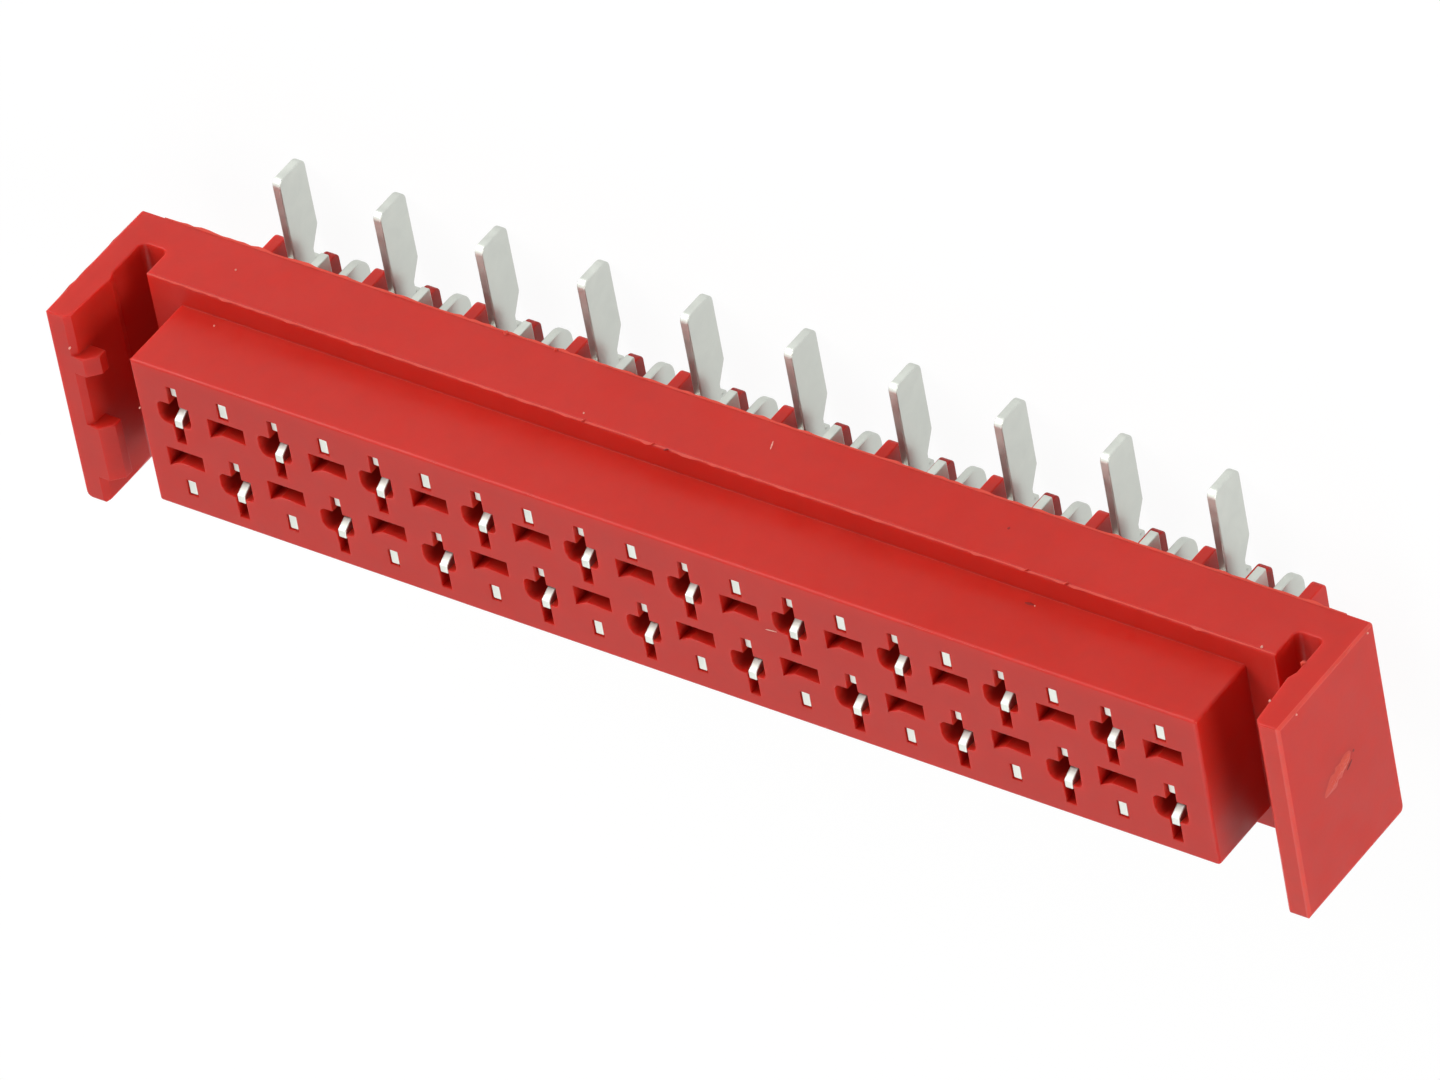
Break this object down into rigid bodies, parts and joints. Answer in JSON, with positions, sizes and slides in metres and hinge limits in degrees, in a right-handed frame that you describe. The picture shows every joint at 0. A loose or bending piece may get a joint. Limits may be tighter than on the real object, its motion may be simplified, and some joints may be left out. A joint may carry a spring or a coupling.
{
  "type": "ribbon cable connector",
  "caption": "Top-entry socket for a ribbon cable plug: moulded block with latch plates and staggered stamped contacts on surface-mount feet.",
  "frame": {"origin": "middle of the footprint, in the plane of the circuit board that the feet stand on", "axes": "+X along the connector towards the plate without visible noses, +Z the mating direction, away from the board, +Y towards the feet of the odd contacts"},
  "size_m": [0.03, 0.0072, 0.0052],
  "materials": {
    "housing": "moulded, satin",
    "contact": "tin plated, satin"
  },
  "bodies": {
    "root": {"housing": "housing", "contact_1": "contact", "contact_2": "contact", "contact_3": "contact", "contact_4": "contact", "contact_5": "contact", "contact_6": "contact", "contact_7": "contact", "contact_8": "contact", "contact_9": "contact", "contact_10": "contact", "contact_11": "contact", "contact_12": "contact", "contact_13": "contact", "contact_14": "contact", "contact_15": "contact", "contact_16": "contact", "contact_17": "contact", "contact_18": "contact", "contact_19": "contact", "contact_20": "contact"}
  },
  "joints": []
}
